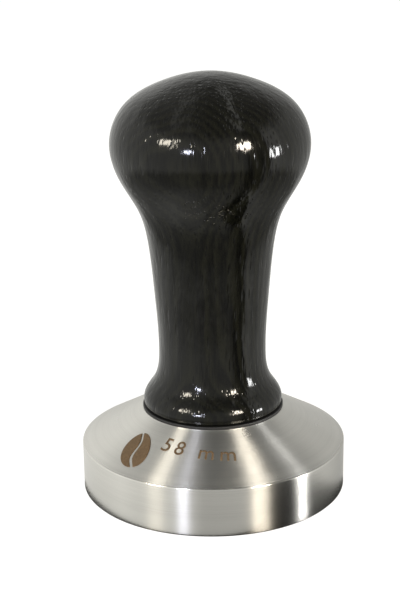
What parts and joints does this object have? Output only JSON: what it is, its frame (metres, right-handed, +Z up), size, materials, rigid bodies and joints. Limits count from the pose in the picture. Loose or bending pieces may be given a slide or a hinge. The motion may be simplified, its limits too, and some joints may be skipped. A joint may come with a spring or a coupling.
{
  "type": "espresso tamper",
  "caption": "Espresso tamper: a flat steel piston base with a conical top, and a black turned wooden mushroom handle that screws onto it with a threaded stud.",
  "frame": {"origin": "centre of the flat face that presses the coffee, on the tamper's axis", "axes": "+Z up along the axis, from the pressing face to the crown of the handle"},
  "size_m": [0.058, 0.058, 0.092],
  "materials": {
    "steel": "turned and polished stainless steel, fine lathe lines around the axis",
    "lacquered_wood": "open-pored ash, stained black and coated with gloss lacquer",
    "washer_nylon": "moulded black nylon, matt",
    "insert_brass": "turned brass",
    "stud_steel": "zinc-plated steel set screw"
  },
  "bodies": {
    "base": {"tamper_base": "steel"},
    "washer": {"handle_washer": "washer_nylon"},
    "grip": {"handle": "lacquered_wood", "threaded_insert": "insert_brass", "threaded_stud": "stud_steel"}
  },
  "joints": [
    {"name": "thread_lift", "type": "slide", "parent": "base", "child": "washer", "axis": [0, 0, 1], "range_m": [0, 0.01]},
    {"name": "handle_turn", "type": "hinge", "parent": "washer", "child": "grip", "pos_m": [0, 0, 0.019], "axis": [0, 0, 1], "range_deg": [0, 2880]}
  ],
  "couplings": [
    {"joint": "thread_lift", "follows": "handle_turn", "m_per_rad": 0.00019894}
  ]
}
